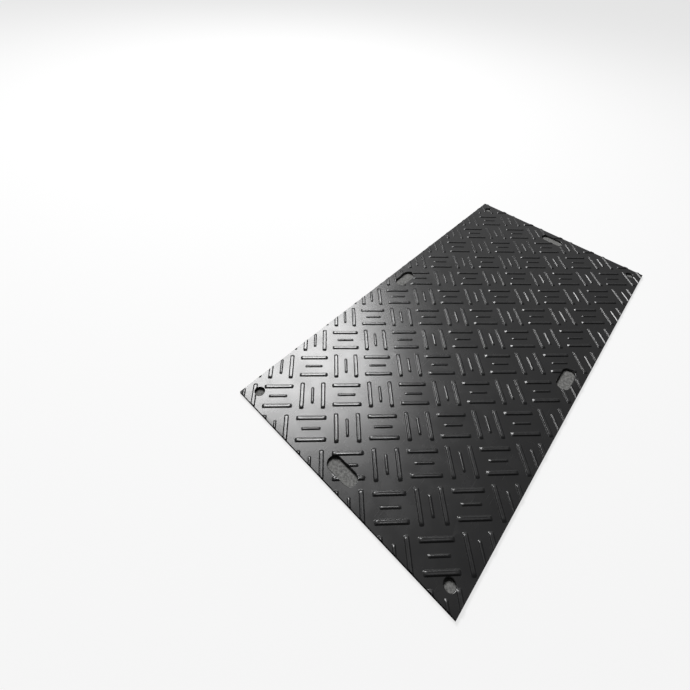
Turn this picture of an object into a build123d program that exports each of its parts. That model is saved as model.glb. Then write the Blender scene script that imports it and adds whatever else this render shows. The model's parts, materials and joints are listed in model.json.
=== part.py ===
from build123d import *
import math
import os

# Ground protection mat: one moulded sheet of black polyethylene with a raised tread on its
# upper face, four hand slots and four corner holes. Millimetres, +Z up. X runs along the
# length, Y across the width, and the origin is the centre of the smooth underside.

# Sheet
LENGTH = 2440.0
WIDTH = 1220.0
THICKNESS = 12.7
EDGE_BREAK = 1.0

# Hand slots, one in the middle of each side
SLOT_LENGTH = 150.0
SLOT_WIDTH = 65.0
SLOT_INSET = 80.0

# Corner holes, where the mat is fastened
HOLE_DIAMETER = 45.0
HOLE_INSET = 67.0

# Worn round rims of the slots and the holes
RIM_CHAMFER = 3.0

# Tread: groups of three bars, turned by a quarter from one group to the next
TREAD_PITCH_X = 236.4
TREAD_PITCH_Y = 232.1
TREAD_START_X = 112.9
TREAD_START_Y = 142.4
TREAD_ANGLE = 45.0
BAR_SPACING = 51.0

# The two outer bars of a group
OUTER_LENGTH = 140.0
OUTER_WIDTH = 20.0
OUTER_CREST_LENGTH = 116.0
OUTER_CREST_WIDTH = 10.5
OUTER_HEIGHT = 5.0

# The middle bar of a group, which draws up to a ridge
MIDDLE_LENGTH = 86.0
MIDDLE_WIDTH = 12.5
MIDDLE_RIDGE_LENGTH = 76.0
MIDDLE_HEIGHT = 3.4

# How far a nose runs back from its tip, and how wide an outer bar's tip stays, as shares of
# the bar's width
NOSE_TAPER = 0.42
TIP_SHARE = 0.38

HALF_LENGTH = LENGTH / 2
HALF_WIDTH = WIDTH / 2
TREAD_HEIGHT = max(OUTER_HEIGHT, MIDDLE_HEIGHT)


def slot_places():
    """Centre and turn of each hand slot, whose long axis follows the nearest edge."""
    along, across = HALF_LENGTH - SLOT_INSET, HALF_WIDTH - SLOT_INSET
    return [(-along, 0, 90), (along, 0, 90), (0, -across, 0), (0, across, 0)]


def hole_places():
    """Centre of each corner hole."""
    along, across = HALF_LENGTH - HOLE_INSET, HALF_WIDTH - HOLE_INSET
    return [(side_x * along, side_y * across) for side_x in (-1, 1) for side_y in (-1, 1)]


def openings_sketch(grow):
    """Plan of all slots and holes, made larger all round by grow."""
    plan = Sketch()
    for x, y, turn in slot_places():
        slot = SlotOverall(SLOT_LENGTH + 2 * grow, SLOT_WIDTH + 2 * grow)
        plan += Pos(x, y) * Rot(0, 0, turn) * slot
    for x, y in hole_places():
        plan += Pos(x, y) * Circle(HOLE_DIAMETER / 2 + grow)
    return plan


def sheet():
    """The flat sheet with its broken edges, slots and holes, before the tread."""
    blank = extrude(Rectangle(LENGTH, WIDTH), amount=THICKNESS)
    blank = chamfer(blank.faces().sort_by(Axis.Z)[-1].edges(), EDGE_BREAK)
    pierced = blank - extrude(openings_sketch(0), amount=THICKNESS)
    top = pierced.faces().sort_by(Axis.Z)[-1]
    rims = [edge for wire in top.inner_wires() for edge in wire.edges()]
    return chamfer(rims, RIM_CHAMFER)


def both_ends(one_end):
    """A bar's plan from the points of its +X end, in turning order."""
    return one_end + [(-x, -y) for x, y in one_end]


def outer_plan(length, width):
    """Plan of an outer bar at one level: straight flanks that draw in to blunt noses."""
    flank, tip = length / 2 - NOSE_TAPER * width, length / 2
    half, blunt = width / 2, TIP_SHARE * width / 2
    return both_ends([(flank, -half), (tip, -blunt), (tip, blunt), (flank, half)])


def middle_plan(length, width):
    """Plan of the middle bar: straight flanks that draw in to pointed noses."""
    flank, tip, half = length / 2 - NOSE_TAPER * width, length / 2, width / 2
    return both_ends([(flank, -half), (tip, 0), (flank, half)])


def bar(foot_plan, crest_plan, height):
    """A bar on the sheet's upper face. Each foot point rises to the crest point of its number,
    and two that share one close the skin between them to a triangle or a ridge."""
    foot = [Vector(x, y, THICKNESS) for x, y in foot_plan]
    crest = [Vector(x, y, THICKNESS + height) for x, y in crest_plan]
    rings = [foot, crest]
    for i in range(len(foot)):
        j = (i + 1) % len(foot)
        rings.append([foot[i], foot[j], crest[j], crest[i]])
    rings = [[point for k, point in enumerate(ring) if point != ring[k - 1]] for ring in rings]
    return Solid(Shell([Face(Wire.make_polygon(ring)) for ring in rings if len(ring) > 2]))


def tread_group(turn):
    """Two long bars with a shorter, lower one between them, turned about the group's centre."""
    outer = bar(
        outer_plan(OUTER_LENGTH, OUTER_WIDTH),
        outer_plan(OUTER_CREST_LENGTH, OUTER_CREST_WIDTH),
        OUTER_HEIGHT,
    )
    middle = bar(
        middle_plan(MIDDLE_LENGTH, MIDDLE_WIDTH),
        both_ends([(MIDDLE_RIDGE_LENGTH / 2, 0)] * 3),
        MIDDLE_HEIGHT,
    )
    group = [Pos(0, -BAR_SPACING, 0) * outer, middle, Pos(0, BAR_SPACING, 0) * outer]
    return [Rot(0, 0, turn) * piece for piece in group]


def group_centres():
    """Centre and turn of every tread group whose bars may reach the sheet."""
    centres = []
    first_x, first_y = TREAD_START_X - HALF_LENGTH, TREAD_START_Y - HALF_WIDTH
    columns = math.ceil(LENGTH / TREAD_PITCH_X) + 1
    rows = math.ceil(WIDTH / TREAD_PITCH_Y) + 1
    for column in range(-1, columns):
        for row in range(-1, rows):
            x, y = first_x + column * TREAD_PITCH_X, first_y + row * TREAD_PITCH_Y
            centres.append((x, y, -TREAD_ANGLE))
            centres.append((x + TREAD_PITCH_X / 2, y + TREAD_PITCH_Y / 2, TREAD_ANGLE))
    return centres


def trimmed(piece, inside, cutters):
    """A bar's solids after the sheet's edge and any slot or hole have cut it."""
    box = piece.bounding_box()
    if (
        min(box.min.X, -box.max.X) < EDGE_BREAK - HALF_LENGTH
        or min(box.min.Y, -box.max.Y) < EDGE_BREAK - HALF_WIDTH
    ):
        piece = piece & inside
    for cutter, reach in cutters:
        if piece is None:
            break
        if any_overlap(box, reach):
            piece = piece - cutter
    return list(piece.solids()) if piece is not None else []


def any_overlap(one, other):
    """Whether two bounding boxes meet in plan."""
    return (
        one.min.X < other.max.X and other.min.X < one.max.X
        and one.min.Y < other.max.Y and other.min.Y < one.max.Y
    )


def tread():
    """Every bar of the tread, trimmed to the sheet."""
    lift = Pos(0, 0, THICKNESS)
    field = Rectangle(LENGTH - 2 * EDGE_BREAK, WIDTH - 2 * EDGE_BREAK)
    inside = lift * extrude(field, amount=TREAD_HEIGHT)
    rims = openings_sketch(RIM_CHAMFER).faces()
    cutters = [lift * extrude(rim, amount=TREAD_HEIGHT) for rim in rims]
    cutters = [(cutter, cutter.bounding_box()) for cutter in cutters]
    patterns = {turn: tread_group(turn) for turn in (-TREAD_ANGLE, TREAD_ANGLE)}
    bars = []
    for x, y, turn in group_centres():
        for piece in patterns[turn]:
            bars += trimmed(Pos(x, y, 0) * piece, inside, cutters)
    return bars


def ground_mat():
    """The whole mat as one solid."""
    return sheet().fuse(*tread())


os.makedirs("parts", exist_ok=True)
mat = ground_mat()
export_step(mat, "parts/ground_mat.step")
print("ground_mat solids", len(mat.solids()), "volume cm3", round(mat.volume / 1000, 1))
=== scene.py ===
"""Looks of the ground protection mat: one black moulded sheet with a raised bar tread.

Sizes are in metres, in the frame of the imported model: +X runs along the mat, +Y across it
and +Z up, and the origin is the middle of the underside.
"""

import json
import logging
import math
from collections.abc import Callable, Iterator
from contextlib import contextmanager
from dataclasses import dataclass, field
from enum import Enum

import bmesh
import bpy
from mathutils import Matrix, Quaternion, Vector

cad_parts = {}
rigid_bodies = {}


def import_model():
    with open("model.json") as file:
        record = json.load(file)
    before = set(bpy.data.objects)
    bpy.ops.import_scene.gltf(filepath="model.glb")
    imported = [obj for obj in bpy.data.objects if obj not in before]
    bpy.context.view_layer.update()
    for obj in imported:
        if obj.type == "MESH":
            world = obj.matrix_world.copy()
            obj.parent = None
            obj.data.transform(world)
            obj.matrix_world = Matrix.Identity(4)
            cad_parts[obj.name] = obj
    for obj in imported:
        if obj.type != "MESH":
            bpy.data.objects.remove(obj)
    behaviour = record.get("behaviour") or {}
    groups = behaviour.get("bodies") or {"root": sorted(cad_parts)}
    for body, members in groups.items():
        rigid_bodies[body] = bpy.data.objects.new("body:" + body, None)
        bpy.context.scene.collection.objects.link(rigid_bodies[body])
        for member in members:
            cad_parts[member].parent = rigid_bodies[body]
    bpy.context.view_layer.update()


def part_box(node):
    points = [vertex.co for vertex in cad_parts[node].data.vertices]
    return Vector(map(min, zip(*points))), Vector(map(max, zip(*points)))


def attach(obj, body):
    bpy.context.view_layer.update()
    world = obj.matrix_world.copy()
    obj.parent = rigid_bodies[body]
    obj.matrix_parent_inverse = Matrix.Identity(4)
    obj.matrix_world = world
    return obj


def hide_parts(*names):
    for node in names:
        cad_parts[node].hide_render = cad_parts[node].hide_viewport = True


MM = 0.001
MAT_NODE = "ground_mat"
MAT_BODY = "root"

log = logging.getLogger("ground_mat")


class Cut(Enum):
    """How one closed shape is combined with another."""

    JOIN = "UNION"
    REMOVE = "DIFFERENCE"
    KEEP_INSIDE = "INTERSECT"


class Bench:
    """The operators that shape a mesh, with the selecting done in code."""

    @staticmethod
    def only(piece: bpy.types.Object) -> None:
        """Selects one object and makes it active.

        Args:
            piece: The object to work on.
        """
        for other in bpy.context.scene.objects:
            other.select_set(False)
        piece.select_set(True)
        bpy.context.view_layer.objects.active = piece

    @staticmethod
    @contextmanager
    def edit(piece: bpy.types.Object) -> Iterator[None]:
        """Holds a piece in edit mode with nothing selected at first.

        Args:
            piece: The object whose mesh is edited.

        Yields:
            Nothing. The mode goes back to object mode afterwards.
        """
        Bench.only(piece)
        bpy.ops.object.mode_set(mode="EDIT")
        bpy.ops.mesh.select_all(action="DESELECT")
        yield
        bpy.ops.object.mode_set(mode="OBJECT")

    @staticmethod
    def pick_faces(wanted: Callable[[bmesh.types.BMFace], bool]) -> None:
        """Selects the faces of the mesh in edit mode that pass a test, and no others.

        Args:
            wanted: Tells from a face's place or normal whether it is picked.
        """
        bpy.ops.mesh.select_mode(type="FACE")
        shape = bmesh.from_edit_mesh(bpy.context.edit_object.data)
        for face in shape.faces:
            face.select_set(wanted(face))
        bmesh.update_edit_mesh(bpy.context.edit_object.data)

    @staticmethod
    def pick_edges(wanted: Callable[[bmesh.types.BMEdge], bool]) -> None:
        """Selects the edges of the mesh in edit mode that pass a test, and no others.

        Args:
            wanted: Tells from an edge's ends whether it is picked.
        """
        bpy.ops.mesh.select_all(action="DESELECT")
        bpy.ops.mesh.select_mode(type="EDGE")
        shape = bmesh.from_edit_mesh(bpy.context.edit_object.data)
        for edge in shape.edges:
            edge.select_set(wanted(edge))
        bmesh.update_edit_mesh(bpy.context.edit_object.data)

    @staticmethod
    def block(name: str, size: Vector, floor: float) -> bpy.types.Object:
        """Adds a block that stands on a level, centred on the origin in plan.

        Args:
            name: Name of the new object.
            size: Length, width and height.
            floor: Height of its underside.

        Returns:
            The block.
        """
        bpy.ops.mesh.primitive_cube_add(size=1)
        piece = bpy.context.object
        piece.name = name
        with Bench.edit(piece):
            bpy.ops.mesh.select_all(action="SELECT")
            bpy.ops.transform.resize(value=size)
            bpy.ops.transform.translate(value=(0, 0, floor + size.z / 2))
        return piece

    @staticmethod
    def combine(piece: bpy.types.Object, tool: bpy.types.Object, cut: Cut) -> None:
        """Joins a closed shape to a piece, or cuts the piece with it, and removes the tool.

        Args:
            piece: The piece that is changed.
            tool: The other shape.
            cut: How the two are combined.
        """
        Bench.only(piece)
        modifier = piece.modifiers.new(cut.name, "BOOLEAN")
        modifier.operation = cut.value
        modifier.solver = "MANIFOLD"
        modifier.object = tool
        bpy.ops.object.modifier_apply(modifier=modifier.name)
        bpy.data.objects.remove(tool)

    @staticmethod
    def join(pieces: list[bpy.types.Object], name: str) -> bpy.types.Object:
        """Joins separate objects to one.

        Args:
            pieces: The objects, at least one.
            name: Name of the joined object.

        Returns:
            The joined object.
        """
        Bench.only(pieces[0])
        for piece in pieces:
            piece.select_set(True)
        if len(pieces) > 1:
            bpy.ops.object.join()
        pieces[0].name = name
        return pieces[0]


@dataclass(frozen=True)
class MatSize:
    """The mat's driving sizes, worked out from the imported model's box."""

    length: float
    width: float
    thickness: float
    edge_break: float = 1.0 * MM
    corner_round: float = 1.5 * MM

    @classmethod
    def from_frame(cls, tread_height: float) -> "MatSize":
        """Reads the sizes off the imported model.

        Args:
            tread_height: How far the tallest bars stand above the sheet.

        Returns:
            The mat's sizes.
        """
        low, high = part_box(MAT_NODE)
        size = high - low
        return cls(size.x, size.y, size.z - tread_height)


@dataclass(frozen=True)
class Level:
    """A bar's outline at one height above the sheet."""

    length: float
    width: float
    height: float


@dataclass(frozen=True)
class Bar:
    """One raised bar of the tread, lying along X with the sheet's face at height zero."""

    levels: tuple[Level, ...]
    nose: float
    foot_flare: float = 1.3 * MM
    sink: float = 0.7 * MM
    nose_steps: int = 2

    @property
    def height(self) -> float:
        """How far the bar's highest line stands above the sheet."""
        return max(level.height for level in self.levels)

    def model(self, name: str) -> bpy.types.Object:
        """Models the bar.

        Args:
            name: Name of the new object.

        Returns:
            The bar, a closed mesh that reaches a little below the sheet's face.
        """
        foot, first = self.levels[:2]
        size = Vector((foot.length, foot.width, first.height - foot.height))
        piece = Bench.block(name, size, foot.height)
        with Bench.edit(piece):
            self._round_noses()
            self._raise_crest()
            self._flare_foot()
        return piece

    def _round_noses(self) -> None:
        """Rounds the block's four upright edges in plan."""
        Bench.pick_edges(lambda edge: abs(edge.verts[0].co.z - edge.verts[1].co.z) > MM)
        bpy.ops.mesh.bevel(
            offset=self.nose, offset_type="OFFSET", segments=self.nose_steps, affect="EDGES"
        )

    def _raise_crest(self) -> None:
        """Carries the top face through the levels, with flanks, shoulders and hollow crest."""
        Bench.pick_faces(lambda face: face.normal.z > 0.9)
        foot, first = self.levels[:2]
        bpy.ops.transform.resize(value=(first.length / foot.length, first.width / foot.width, 1))
        for last, level in zip(self.levels[1:], self.levels[2:]):
            lift = level.height - last.height
            bpy.ops.mesh.extrude_region_move(TRANSFORM_OT_translate={"value": (0, 0, lift)})
            bpy.ops.transform.resize(
                value=(level.length / last.length, level.width / last.width, 1)
            )

    def _flare_foot(self) -> None:
        """Spreads the foot in a hollow curve, and carries it down into the sheet."""
        foot = self.levels[0]
        Bench.pick_faces(lambda face: face.normal.z < -0.9 and face.calc_center_median().z < foot.height + 0.01 * MM)
        bpy.ops.mesh.extrude_region_move(
            TRANSFORM_OT_translate={"value": (0, 0, -foot.height)}
        )
        spread = 2 * self.foot_flare
        scale = (1 + spread / foot.length, 1 + spread / foot.width, 1)
        bpy.ops.transform.resize(value=scale)
        bpy.ops.mesh.extrude_region_move(TRANSFORM_OT_translate={"value": (0, 0, -self.sink)})


@dataclass(frozen=True)
class Tread:
    """Groups of three bars, turned by a quarter from one group to the next."""

    pitch_x: float = 236.4 * MM
    pitch_y: float = 232.1 * MM
    start_x: float = 112.9 * MM
    start_y: float = 142.4 * MM
    turn: float = math.radians(45)
    bar_spacing: float = 51.0 * MM
    outer: Bar = Bar(
        levels=(
            Level(140.0 * MM, 20.0 * MM, 0.6 * MM),
            Level(132.5 * MM, 16.6 * MM, 2.5 * MM),
            Level(125.0 * MM, 13.6 * MM, 4.05 * MM),
            Level(121.0 * MM, 11.6 * MM, 4.55 * MM),
            Level(113.0 * MM, 8.4 * MM, 5.0 * MM),
            Level(101.0 * MM, 3.4 * MM, 4.45 * MM),
        ),
        nose=5.6 * MM,
    )
    middle: Bar = Bar(
        levels=(
            Level(86.0 * MM, 12.5 * MM, 0.6 * MM),
            Level(80.0 * MM, 9.8 * MM, 1.9 * MM),
            Level(74.0 * MM, 7.0 * MM, 2.75 * MM),
            Level(68.0 * MM, 4.0 * MM, 3.25 * MM),
            Level(62.0 * MM, 1.2 * MM, 3.4 * MM),
        ),
        nose=4.2 * MM,
    )

    def build(self, mat: MatSize) -> bpy.types.Object:
        """Builds every bar, trimmed at the sheet's edge.

        Args:
            mat: The mat's sizes.

        Returns:
            All bars as one object, standing on the sheet's upper face.
        """
        group = self._group()
        bars = []
        for x, y, turn in self._places(mat):
            place = Matrix.Translation((x, y, mat.thickness)) @ Matrix.Rotation(turn, 4, "Z")
            bars += [self._copy(bar, place) for bar in group]
        for bar in group:
            bpy.data.objects.remove(bar)
        tread = Bench.join(bars, "tread")
        margin = 2 * mat.edge_break
        size = Vector((mat.length - margin, mat.width - margin, 4 * self.outer.height))
        field_box = Bench.block("tread_field", size, mat.thickness - 2 * self.outer.height)
        Bench.combine(tread, field_box, Cut.KEEP_INSIDE)
        return tread

    def _group(self) -> list[bpy.types.Object]:
        """Models one group: two outer bars with a middle bar between them."""
        middle = self.middle.model("middle_bar")
        outers = []
        for side in (-1, 1):
            outer = self.outer.model("outer_bar")
            outer.data.transform(Matrix.Translation((0, side * self.bar_spacing, 0)))
            outers.append(outer)
        return [middle, *outers]

    def _places(self, mat: MatSize) -> list[tuple[float, float, float]]:
        """Works out the centre and turn of every group that may reach the sheet.

        Args:
            mat: The mat's sizes.

        Returns:
            X, Y and turn of each group.
        """
        first_x, first_y = self.start_x - mat.length / 2, self.start_y - mat.width / 2
        places = []
        for column in range(-1, math.ceil(mat.length / self.pitch_x) + 1):
            for row in range(-1, math.ceil(mat.width / self.pitch_y) + 1):
                x, y = first_x + column * self.pitch_x, first_y + row * self.pitch_y
                places.append((x, y, -self.turn))
                places.append((x + self.pitch_x / 2, y + self.pitch_y / 2, self.turn))
        reach = self.outer.levels[0].length
        return [
            (x, y, turn) for x, y, turn in places
            if abs(x) < mat.length / 2 + reach and abs(y) < mat.width / 2 + reach
        ]

    @staticmethod
    def _copy(bar: bpy.types.Object, place: Matrix) -> bpy.types.Object:
        """Copies a bar, with its place in its own mesh.

        Args:
            bar: The modelled bar.
            place: Where the copy goes.

        Returns:
            The copy.
        """
        copy = bar.copy()
        copy.data = bar.data.copy()
        copy.data.transform(place)
        bpy.context.scene.collection.objects.link(copy)
        return copy


@dataclass(frozen=True)
class RoundedOpening:
    """A round hole or a round-ended slot with a softly rounded upper rim."""

    length: float
    width: float
    rim: float = 3.0 * MM
    sides: int = 48
    rim_steps: int = 4
    overrun: float = 10.0 * MM

    def cutter(self, thickness: float) -> bpy.types.Object:
        """Models the shape that cuts the opening and its rim.

        Args:
            thickness: The sheet's thickness.

        Returns:
            A closed cutter, with its long axis along X.
        """
        wall_top = thickness - self.rim
        depth = wall_top + self.overrun
        bpy.ops.mesh.primitive_cylinder_add(
            vertices=self.sides, radius=self.width / 2, depth=depth,
            location=(0, 0, wall_top - depth / 2), rotation=(0, 0, math.pi / self.sides),
        )
        piece = bpy.context.object
        bpy.ops.object.transform_apply(location=True, rotation=True, scale=True)
        with Bench.edit(piece):
            self._roll_rim(wall_top)
            self._draw_out()
        return piece

    def _roll_rim(self, wall_top: float) -> None:
        """Carries the cutter's top up and out along a quarter circle, then straight up.

        Args:
            wall_top: Height at which the rim starts to round.
        """
        Bench.pick_faces(lambda face: face.normal.z > 0.9)
        radius, height = self.width / 2, wall_top
        for step in range(1, self.rim_steps + 1):
            angle = step / self.rim_steps * math.pi / 2
            new_radius = self.width / 2 + self.rim * (1 - math.cos(angle))
            new_height = wall_top + self.rim * math.sin(angle)
            self._ring(new_radius / radius, new_height - height)
            radius, height = new_radius, new_height
        self._ring(1, self.overrun)

    @staticmethod
    def _ring(scale: float, lift: float) -> None:
        """Extrudes the picked face to a new ring.

        Args:
            scale: Size of the new ring as a share of the last.
            lift: How far it lies above the last.
        """
        bpy.ops.mesh.extrude_region_move(TRANSFORM_OT_translate={"value": (0, 0, lift)})
        bpy.ops.transform.resize(value=(scale, scale, 1))

    def _draw_out(self) -> None:
        """Moves the two halves apart along X, which turns a round cutter into a slot's."""
        stretch = (self.length - self.width) / 2
        if stretch <= 0:
            return
        for side in (-1, 1):
            bpy.ops.mesh.select_all(action="DESELECT")
            bpy.ops.mesh.select_mode(type="VERT")
            shape = bmesh.from_edit_mesh(bpy.context.edit_object.data)
            for vert in shape.verts:
                vert.select_set(side * vert.co.x > 0)
            bmesh.update_edit_mesh(bpy.context.edit_object.data)
            bpy.ops.transform.translate(value=(side * stretch, 0, 0))


@dataclass(frozen=True)
class Openings:
    """The hand slots in the middle of the sides, and the corner holes."""

    slot: RoundedOpening = RoundedOpening(length=150 * MM, width=65 * MM)
    hole: RoundedOpening = RoundedOpening(length=45 * MM, width=45 * MM)
    slot_inset: float = 80 * MM
    hole_inset: float = 67 * MM

    def cutters(self, mat: MatSize) -> list[bpy.types.Object]:
        """Places a cutter for each slot and hole.

        Args:
            mat: The mat's sizes.

        Returns:
            The cutters, none of which meets another.
        """
        along, across = mat.length / 2 - self.slot_inset, mat.width / 2 - self.slot_inset
        turned = math.pi / 2
        slots = [(-along, 0, turned), (along, 0, turned), (0, -across, 0), (0, across, 0)]
        along, across = mat.length / 2 - self.hole_inset, mat.width / 2 - self.hole_inset
        holes = [(side * along, end * across, 0) for side in (-1, 1) for end in (-1, 1)]
        made = []
        for opening, places in ((self.slot, slots), (self.hole, holes)):
            for x, y, turn in places:
                cutter = opening.cutter(mat.thickness)
                place = Matrix.Translation((x, y, 0)) @ Matrix.Rotation(turn, 4, "Z")
                cutter.data.transform(place)
                made.append(cutter)
        return made


@dataclass(frozen=True)
class Noise:
    """A noise texture's settings, on Object coordinates."""

    scale: float
    detail: float = 3.0
    roughness: float = 0.55
    stretch: tuple[float, float, float] = (1.0, 1.0, 1.0)
    turn: float = 0.0

    def add(self, tree: bpy.types.NodeTree) -> bpy.types.NodeSocket:
        """Adds the texture to a node tree.

        Args:
            tree: The tree.

        Returns:
            The socket with the noise's value.
        """
        place = tree.nodes.new("ShaderNodeTexCoord")
        mapping = tree.nodes.new("ShaderNodeMapping")
        mapping.inputs["Scale"].default_value = self.stretch
        mapping.inputs["Rotation"].default_value = (0, 0, self.turn)
        noise = tree.nodes.new("ShaderNodeTexNoise")
        noise.inputs["Scale"].default_value = self.scale
        noise.inputs["Detail"].default_value = self.detail
        noise.inputs["Roughness"].default_value = self.roughness
        tree.links.new(place.outputs["Object"], mapping.inputs["Vector"])
        tree.links.new(mapping.outputs["Vector"], noise.inputs["Vector"])
        return noise.outputs["Fac"]


class Nodes:
    """Small steps that several node groups share."""

    @staticmethod
    def ramp(
        tree: bpy.types.NodeTree,
        value: bpy.types.NodeSocket,
        low: float,
        high: float,
        to_low: float = 0.0,
        to_high: float = 1.0,
    ) -> bpy.types.NodeSocket:
        """Maps a value smoothly from one range to another.

        Args:
            tree: The node tree.
            value: The value that goes in.
            low: Where the range starts.
            high: Where it ends.
            to_low: What low becomes.
            to_high: What high becomes.

        Returns:
            The mapped value.
        """
        node = tree.nodes.new("ShaderNodeMapRange")
        node.interpolation_type = "SMOOTHSTEP"
        for name, number in (
            ("From Min", low), ("From Max", high), ("To Min", to_low), ("To Max", to_high)
        ):
            node.inputs[name].default_value = number
        tree.links.new(value, node.inputs["Value"])
        return node.outputs["Result"]

    @staticmethod
    def math(
        tree: bpy.types.NodeTree,
        operation: str,
        first: bpy.types.NodeSocket | float,
        second: bpy.types.NodeSocket | float,
    ) -> bpy.types.NodeSocket:
        """Adds a Math node.

        Args:
            tree: The node tree.
            operation: Name of the operation.
            first: First value or socket.
            second: Second value or socket.

        Returns:
            The result.
        """
        node = tree.nodes.new("ShaderNodeMath")
        node.operation = operation
        for socket, value in zip(node.inputs, (first, second)):
            if isinstance(value, bpy.types.NodeSocket):
                tree.links.new(value, socket)
            else:
                socket.default_value = value
        return node.outputs["Value"]

    @staticmethod
    def group(name: str, inputs: dict[str, float], outputs: list[str]) -> bpy.types.NodeTree:
        """Starts a shader node group with plain number sockets.

        Args:
            name: The group's name.
            inputs: Each input's name and default.
            outputs: Names of the outputs.

        Returns:
            The group, with its input and output nodes in place.
        """
        tree = bpy.data.node_groups.new(name, "ShaderNodeTree")
        for label, number in inputs.items():
            socket = tree.interface.new_socket(label, in_out="INPUT", socket_type="NodeSocketFloat")
            socket.default_value = number
        for label in outputs:
            tree.interface.new_socket(label, in_out="OUTPUT", socket_type="NodeSocketFloat")
        tree.nodes.new("NodeGroupInput")
        tree.nodes.new("NodeGroupOutput")
        return tree

    @staticmethod
    def use(
        tree: bpy.types.NodeTree, group: bpy.types.NodeTree, values: dict[str, float]
    ) -> bpy.types.Node:
        """Places a group in a material.

        Args:
            tree: The material's node tree.
            group: The group.
            values: This material's own values for the group's inputs.

        Returns:
            The group node.
        """
        node = tree.nodes.new("ShaderNodeGroup")
        node.node_tree = group
        for label, number in values.items():
            node.inputs[label].default_value = number
        return node


class SurfaceEffects:
    """Node groups for what shows on a moulded plastic surface."""

    @staticmethod
    def mould_grain() -> bpy.types.NodeTree:
        """Fine orange peel with a slow swell under it, from the mould and from cooling."""
        tree = Nodes.group(
            "mould_grain", {"Grain": 1.0, "Swell": 1.0}, ["Height", "Patch"]
        )
        given, out = tree.nodes["Group Input"], tree.nodes["Group Output"]
        grain = Noise(scale=420, detail=2).add(tree)
        swell = Noise(scale=3.2, detail=1.5, roughness=0.4).add(tree)
        fine = Nodes.math(tree, "MULTIPLY", grain, given.outputs["Grain"])
        slow = Nodes.math(tree, "MULTIPLY", swell, given.outputs["Swell"])
        height = Nodes.math(tree, "ADD", fine, slow)
        patch = Nodes.ramp(tree, Noise(scale=9, detail=4, roughness=0.6).add(tree), 0.35, 0.7)
        tree.links.new(height, out.inputs["Height"])
        tree.links.new(patch, out.inputs["Patch"])
        return tree

    @staticmethod
    def handling_scuffs() -> bpy.types.NodeTree:
        """Short faint scratches in two directions, gathered in patches."""
        tree = Nodes.group("handling_scuffs", {"Amount": 1.0}, ["Mask"])
        given, out = tree.nodes["Group Input"], tree.nodes["Group Output"]
        lines = []
        for turn in (0.35, 1.9):
            streak = Noise(scale=60, detail=2, stretch=(0.12, 3.0, 1.0), turn=turn).add(tree)
            lines.append(Nodes.ramp(tree, streak, 0.66, 0.74))
        both = Nodes.math(tree, "MAXIMUM", *lines)
        where = Nodes.ramp(tree, Noise(scale=5, detail=2).add(tree), 0.45, 0.65)
        marked = Nodes.math(tree, "MULTIPLY", both, where)
        mask = Nodes.math(tree, "MULTIPLY", marked, given.outputs["Amount"])
        tree.links.new(mask, out.inputs["Mask"])
        return tree

    @staticmethod
    def crest_rub(low: float, high: float) -> bpy.types.NodeTree:
        """Rubbing on the tops of the bars.

        Args:
            low: Height where the rubbing starts.
            high: Height where it is full.

        Returns:
            The node group.
        """
        tree = Nodes.group("crest_rub", {"Amount": 1.0}, ["Mask"])
        given, out = tree.nodes["Group Input"], tree.nodes["Group Output"]
        place = tree.nodes.new("ShaderNodeTexCoord")
        split = tree.nodes.new("ShaderNodeSeparateXYZ")
        tree.links.new(place.outputs["Object"], split.inputs["Vector"])
        raised = Nodes.ramp(tree, split.outputs["Z"], low, high)
        broken = Nodes.ramp(tree, Noise(scale=70, detail=3).add(tree), 0.4, 0.65, 0.3, 1.0)
        rubbed = Nodes.math(tree, "MULTIPLY", raised, broken)
        mask = Nodes.math(tree, "MULTIPLY", rubbed, given.outputs["Amount"])
        tree.links.new(mask, out.inputs["Mask"])
        return tree


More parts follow.
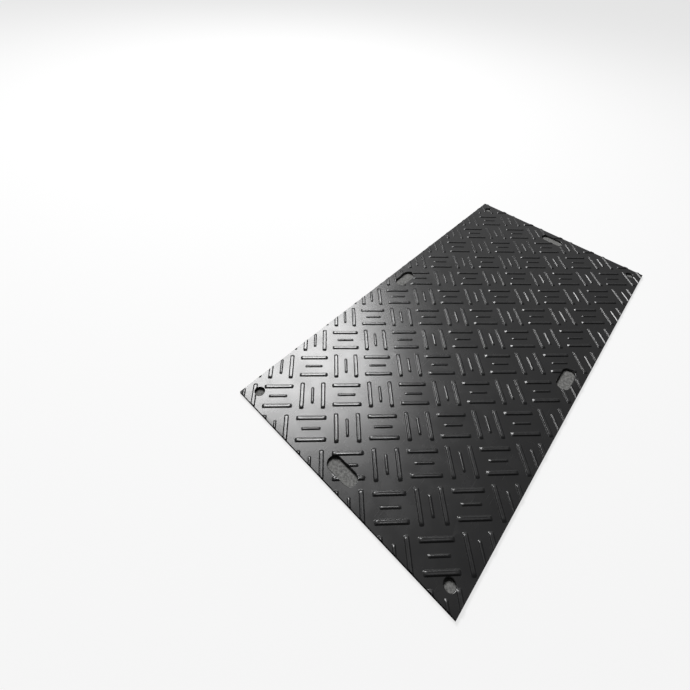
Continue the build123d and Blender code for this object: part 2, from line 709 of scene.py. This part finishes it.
@dataclass(frozen=True)
class BlackPolyethylene:
    """Half glossy black moulded polyethylene, lightly handled."""

    colour: tuple[float, float, float, float] = (0.017, 0.017, 0.0175, 1.0)
    worn_colour: tuple[float, float, float, float] = (0.04, 0.04, 0.041, 1.0)
    roughness: float = 0.24
    patch_roughness: float = 0.05
    scuff_roughness: float = 0.12
    rub_roughness: float = -0.06
    ior: float = 1.52
    bump_depth: float = 0.05 * MM

    def material(self, mat: MatSize, tread: Tread) -> bpy.types.Material:
        """Builds the material.

        Args:
            mat: The mat's sizes.
            tread: The tread, whose tops are rubbed.

        Returns:
            The material.
        """
        made = bpy.data.materials.new("black_polyethylene")
        made.use_nodes = True
        tree = made.node_tree
        shader = tree.nodes["Principled BSDF"]
        grain = Nodes.use(tree, SurfaceEffects.mould_grain(), {"Grain": 0.25, "Swell": 4.0})
        scuffs = Nodes.use(tree, SurfaceEffects.handling_scuffs(), {"Amount": 0.5})
        top = mat.thickness + tread.outer.height
        rub_group = SurfaceEffects.crest_rub(top - 0.5 * tread.outer.height, top)
        rub = Nodes.use(tree, rub_group, {"Amount": 0.6})
        self._colour(tree, shader, scuffs, rub)
        self._roughness(tree, shader, grain, scuffs, rub)
        bump = tree.nodes.new("ShaderNodeBump")
        bump.inputs["Strength"].default_value = 1.0
        bump.inputs["Distance"].default_value = self.bump_depth
        tree.links.new(grain.outputs["Height"], bump.inputs["Height"])
        tree.links.new(bump.outputs["Normal"], shader.inputs["Normal"])
        shader.inputs["IOR"].default_value = self.ior
        return made

    def _colour(
        self,
        tree: bpy.types.NodeTree,
        shader: bpy.types.Node,
        scuffs: bpy.types.Node,
        rub: bpy.types.Node,
    ) -> None:
        """Feeds the base colour, a little paler where the surface is worn.

        Args:
            tree: The material's node tree.
            shader: The Principled BSDF.
            scuffs: The group with the scratches.
            rub: The group with the rubbed tops.
        """
        worn = Nodes.math(tree, "MAXIMUM", scuffs.outputs["Mask"], rub.outputs["Mask"])
        mix = tree.nodes.new("ShaderNodeMix")
        mix.data_type = "RGBA"
        mix.inputs["A"].default_value = self.colour
        mix.inputs["B"].default_value = self.worn_colour
        tree.links.new(worn, mix.inputs["Factor"])
        tree.links.new(mix.outputs["Result"], shader.inputs["Base Color"])

    def _roughness(
        self,
        tree: bpy.types.NodeTree,
        shader: bpy.types.Node,
        grain: bpy.types.Node,
        scuffs: bpy.types.Node,
        rub: bpy.types.Node,
    ) -> None:
        """Feeds the roughness, which rises in patches and where the surface is worn.

        Args:
            tree: The material's node tree.
            shader: The Principled BSDF.
            grain: The group with the patches.
            scuffs: The group with the scratches.
            rub: The group with the rubbed tops.
        """
        total: bpy.types.NodeSocket | float = self.roughness
        for socket, share in (
            (grain.outputs["Patch"], self.patch_roughness),
            (scuffs.outputs["Mask"], self.scuff_roughness),
            (rub.outputs["Mask"], self.rub_roughness),
        ):
            part = Nodes.math(tree, "MULTIPLY", socket, share)
            total = Nodes.math(tree, "ADD", total, part)
        tree.links.new(total, shader.inputs["Roughness"])


@dataclass
class GroundMat:
    """The whole mat: the sheet, its tread, slots and holes, as one moulded piece."""

    tread: Tread = field(default_factory=Tread)
    openings: Openings = field(default_factory=Openings)
    finish: BlackPolyethylene = field(default_factory=BlackPolyethylene)
    smooth_angle: float = math.radians(38)
    edge_steps: int = 3

    def build(self) -> bpy.types.Object:
        """Builds and dresses the mat.

        Returns:
            The mat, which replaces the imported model's node.
        """
        size = MatSize.from_frame(self.tread.outer.height)
        piece = self._sheet(size)
        Bench.combine(piece, self.tread.build(size), Cut.JOIN)
        cutters = Bench.join(self.openings.cutters(size), "cutters")
        Bench.combine(piece, cutters, Cut.REMOVE)
        self._smooth(piece)
        piece.data.materials.clear()
        piece.data.materials.append(self.finish.material(size, self.tread))
        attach(piece, MAT_BODY)
        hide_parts(MAT_NODE)
        log.info("%s: %d faces", piece.name, len(piece.data.polygons))
        return piece

    def _sheet(self, size: MatSize) -> bpy.types.Object:
        """Models the flat sheet with its softened edges.

        Args:
            size: The mat's sizes.

        Returns:
            The sheet.
        """
        whole = Vector((size.length, size.width, size.thickness))
        piece = Bench.block("moulded_mat", whole, 0)
        with Bench.edit(piece):
            Bench.pick_edges(lambda edge: abs(edge.verts[0].co.z - edge.verts[1].co.z) > MM)
            bpy.ops.mesh.bevel(
                offset=size.corner_round, offset_type="OFFSET", segments=self.edge_steps, affect="EDGES"
            )
            Bench.pick_edges(lambda edge: all(vert.co.z > size.thickness / 2 for vert in edge.verts))
            bpy.ops.mesh.bevel(
                offset=size.edge_break, offset_type="OFFSET", segments=self.edge_steps, affect="EDGES"
            )
        return piece

    def _smooth(self, piece: bpy.types.Object) -> None:
        """Shades the mesh smoothly and keeps its flat faces flat.

        Args:
            piece: The mat.
        """
        Bench.only(piece)
        bpy.ops.object.shade_smooth_by_angle(angle=self.smooth_angle)
        weighted = piece.modifiers.new("flat_faces", "WEIGHTED_NORMAL")
        weighted.keep_sharp = True
        weighted.weight = 100
        bpy.ops.object.modifier_apply(modifier=weighted.name)


@dataclass(frozen=True)
class SoftBox:
    """A large soft lamp that faces the mat."""

    name: str
    place: tuple[float, float, float]
    aim: tuple[float, float, float]
    size: tuple[float, float]
    power: float

    def add(self) -> None:
        """Adds the lamp to the scene."""
        data = bpy.data.lights.new(self.name, "AREA")
        data.shape = "RECTANGLE"
        data.size, data.size_y = self.size
        data.energy = self.power
        lamp = bpy.data.objects.new(self.name, data)
        lamp.location = self.place
        facing = Vector(self.aim) - Vector(self.place)
        lamp.rotation_euler = facing.to_track_quat("-Z", "Y").to_euler()
        bpy.context.scene.collection.objects.link(lamp)


@dataclass
class Studio:
    """The pale floor, the light and the camera."""

    floor_size: float = 60.0
    floor_drop: float = 0.2 * MM
    floor_colour: tuple[float, float, float, float] = (0.84, 0.84, 0.84, 1.0)
    floor_bounce: tuple[float, float, float, float] = (0.10, 0.10, 0.10, 1.0)
    ground_colour: tuple[float, float, float, float] = (0.20, 0.20, 0.195, 1.0)
    ground_size: tuple[float, float] = (2.36, 1.14)
    floor_glow: float = 0.75
    sky_low: float = 0.06
    sky_high: float = 0.66
    sky_edge: float = 0.5
    sky_axis: tuple[float, float, float] = (0.58, 0.69, 0.42)
    key: SoftBox = SoftBox(
        name="key", place=(2.4, 4.9, 6.9), aim=(-0.6, 0.1, 0.0), size=(4.4, 3.2), power=860.0
    )
    camera_place: tuple[float, float, float] = (-1.8887, -0.6066, 1.9945)
    camera_aim: tuple[float, float, float] = (0.4783, 1.3627, 0.0127)
    camera_roll: float = math.radians(4.223)
    focal_pixels: float = 446.0
    centre_pixel: tuple[float, float] = (359.2, 200.0)
    image_pixels: float = 690.0
    sensor: float = 36.0

    def build(self) -> None:
        """Sets up the whole studio."""
        self._floor()
        self._sky()
        self.key.add()
        self._camera()
        bpy.context.scene.view_settings.view_transform = "Standard"

    def _floor(self) -> None:
        """Lays the pale floor, which is bare grey ground where the mat covers it."""
        bpy.ops.mesh.primitive_plane_add(size=self.floor_size, location=(0, 0, -self.floor_drop))
        floor = bpy.context.object
        floor.name = "floor"
        bpy.ops.object.transform_apply(location=True, rotation=True, scale=True)
        paint = bpy.data.materials.new("pale_floor")
        paint.use_nodes = True
        tree = paint.node_tree
        tree.nodes.clear()
        ray = tree.nodes.new("ShaderNodeLightPath")
        seen = ray.outputs["Is Camera Ray"]
        covered = self._covered(tree)
        pale = self._blend(tree, seen, self.floor_bounce, self.floor_colour)
        grit = Nodes.ramp(tree, Noise(scale=90, detail=5, roughness=0.7).add(tree), 0.3, 0.7, 0.45, 1.3)
        ground = tree.nodes.new("ShaderNodeVectorMath")
        ground.operation = "SCALE"
        ground.inputs[0].default_value = self.ground_colour[:3]
        tree.links.new(grit, ground.inputs["Scale"])
        colour = self._blend(tree, covered, pale, ground.outputs["Vector"])
        matt = tree.nodes.new("ShaderNodeBsdfDiffuse")
        tree.links.new(colour, matt.inputs["Color"])
        glow = tree.nodes.new("ShaderNodeEmission")
        open_floor = Nodes.math(tree, "SUBTRACT", 1.0, covered)
        share = Nodes.math(tree, "MULTIPLY", seen, self.floor_glow)
        mix = tree.nodes.new("ShaderNodeMixShader")
        out = tree.nodes.new("ShaderNodeOutputMaterial")
        tree.links.new(Nodes.math(tree, "MULTIPLY", share, open_floor), mix.inputs["Fac"])
        tree.links.new(matt.outputs["BSDF"], mix.inputs[1])
        tree.links.new(glow.outputs["Emission"], mix.inputs[2])
        tree.links.new(mix.outputs["Shader"], out.inputs["Surface"])
        floor.data.materials.append(paint)

    def _covered(self, tree: bpy.types.NodeTree) -> bpy.types.NodeSocket:
        """Marks the ground under the mat.

        Args:
            tree: The floor's node tree.

        Returns:
            One under the mat and zero outside.
        """
        place = tree.nodes.new("ShaderNodeTexCoord")
        split = tree.nodes.new("ShaderNodeSeparateXYZ")
        tree.links.new(place.outputs["Object"], split.inputs["Vector"])
        sides = []
        for axis, size in zip("XY", self.ground_size):
            reach = Nodes.math(tree, "ABSOLUTE", split.outputs[axis], 0.0)
            sides.append(Nodes.math(tree, "LESS_THAN", reach, size / 2))
        return Nodes.math(tree, "MULTIPLY", *sides)

    @staticmethod
    def _blend(
        tree: bpy.types.NodeTree,
        share: bpy.types.NodeSocket,
        first: bpy.types.NodeSocket | tuple[float, float, float, float],
        second: bpy.types.NodeSocket | tuple[float, float, float, float],
    ) -> bpy.types.NodeSocket:
        """Mixes two colours.

        Args:
            tree: The node tree.
            share: How much of the second shows.
            first: First colour or socket.
            second: Second colour or socket.

        Returns:
            The mixed colour.
        """
        mix = tree.nodes.new("ShaderNodeMix")
        mix.data_type = "RGBA"
        tree.links.new(share, mix.inputs["Factor"])
        for side, value in (("A", first), ("B", second)):
            if isinstance(value, bpy.types.NodeSocket):
                tree.links.new(value, mix.inputs[side])
            else:
                mix.inputs[side].default_value = value
        return mix.outputs["Result"]

    def _sky(self) -> None:
        """Lights the scene softly, more from the side of the key lamp, before a white backdrop."""
        world = bpy.data.worlds.new("studio")
        bpy.context.scene.world = world
        world.use_nodes = True
        tree = world.node_tree
        tree.nodes.clear()
        place = tree.nodes.new("ShaderNodeTexCoord")
        dot = tree.nodes.new("ShaderNodeVectorMath")
        dot.operation = "DOT_PRODUCT"
        dot.inputs[1].default_value = Vector(self.sky_axis).normalized()
        tree.links.new(place.outputs["Generated"], dot.inputs[0])
        strength = Nodes.ramp(
            tree, dot.outputs["Value"], self.sky_edge, 1.0, self.sky_low, self.sky_high
        )
        ray = tree.nodes.new("ShaderNodeLightPath")
        mix = tree.nodes.new("ShaderNodeMix")
        tree.links.new(ray.outputs["Is Camera Ray"], mix.inputs["Factor"])
        tree.links.new(strength, mix.inputs["A"])
        mix.inputs["B"].default_value = 1.0
        background = tree.nodes.new("ShaderNodeBackground")
        out = tree.nodes.new("ShaderNodeOutputWorld")
        tree.links.new(mix.outputs["Result"], background.inputs["Strength"])
        tree.links.new(background.outputs["Background"], out.inputs["Surface"])

    def _camera(self) -> None:
        """Puts the camera where the photograph's view is taken from."""
        data = bpy.data.cameras.new("camera")
        data.sensor_width = self.sensor
        data.lens = self.focal_pixels * self.sensor / self.image_pixels
        middle = self.image_pixels / 2
        data.shift_x = (middle - self.centre_pixel[0]) / self.image_pixels
        data.shift_y = (self.centre_pixel[1] - middle) / self.image_pixels
        data.clip_start, data.clip_end = 0.05, 200.0
        camera = bpy.data.objects.new("camera", data)
        camera.location = self.camera_place
        facing = Vector(self.camera_aim) - Vector(self.camera_place)
        level = facing.to_track_quat("-Z", "Y")
        camera.rotation_mode = "QUATERNION"
        camera.rotation_quaternion = level @ Quaternion((0, 0, 1), self.camera_roll)
        bpy.context.scene.collection.objects.link(camera)
        bpy.context.scene.camera = camera


def main() -> None:
    """Loads the frame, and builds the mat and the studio."""
    logging.basicConfig(level=logging.INFO, format="%(name)s: %(message)s")
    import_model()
    GroundMat().build()
    Studio().build()


if __name__ == "__main__":
    main()
